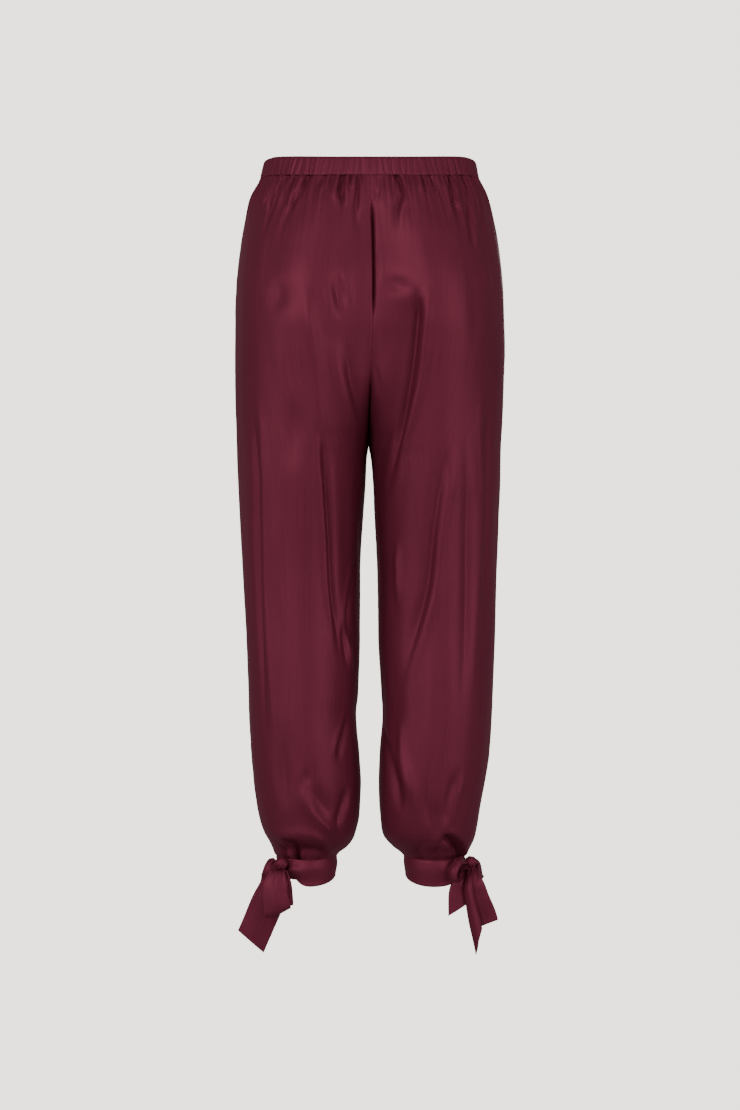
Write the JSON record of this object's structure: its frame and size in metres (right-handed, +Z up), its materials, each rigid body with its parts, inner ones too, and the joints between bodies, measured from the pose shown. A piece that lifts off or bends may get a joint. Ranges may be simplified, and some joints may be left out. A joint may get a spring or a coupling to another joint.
{
  "type": "balloon trousers",
  "caption": "Satin balloon trousers with an elastic gathered waistband, full soft legs and ankle cuffs tied in bows at the outer side, filled out as worn, open at waist and ankles",
  "frame": {"origin": "centre of the waistband's ring, 5 mm below its upper edge at the sides, where a wearer or a hanger clip holds the garment", "axes": "+Z up, the garment's back faces -Y and its front +Y, +X is the wearer's right"},
  "size_m": [0.3709, 0.258, 1.0906],
  "materials": {
    "satin": "soft sheen satin weave, dark wine red",
    "waistband_satin": "soft sheen satin over elastic, finely gathered, dark wine red",
    "cuff_satin": "soft sheen satin, two layers, dark wine red",
    "tie_satin": "soft sheen satin, dark wine red"
  },
  "bodies": {
    "root": {"waistband": "waistband_satin", "back_left": "satin", "back_right": "satin", "front_left": "satin", "front_right": "satin", "cuff_left": "cuff_satin", "cuff_right": "cuff_satin", "knot_left": "tie_satin", "knot_right": "tie_satin", "loop_left_a": "tie_satin", "loop_left_b": "tie_satin", "loop_right_a": "tie_satin", "loop_right_b": "tie_satin", "tail_left_a": "tie_satin", "tail_left_b": "tie_satin", "tail_right_a": "tie_satin", "tail_right_b": "tie_satin"}
  },
  "joints": []
}
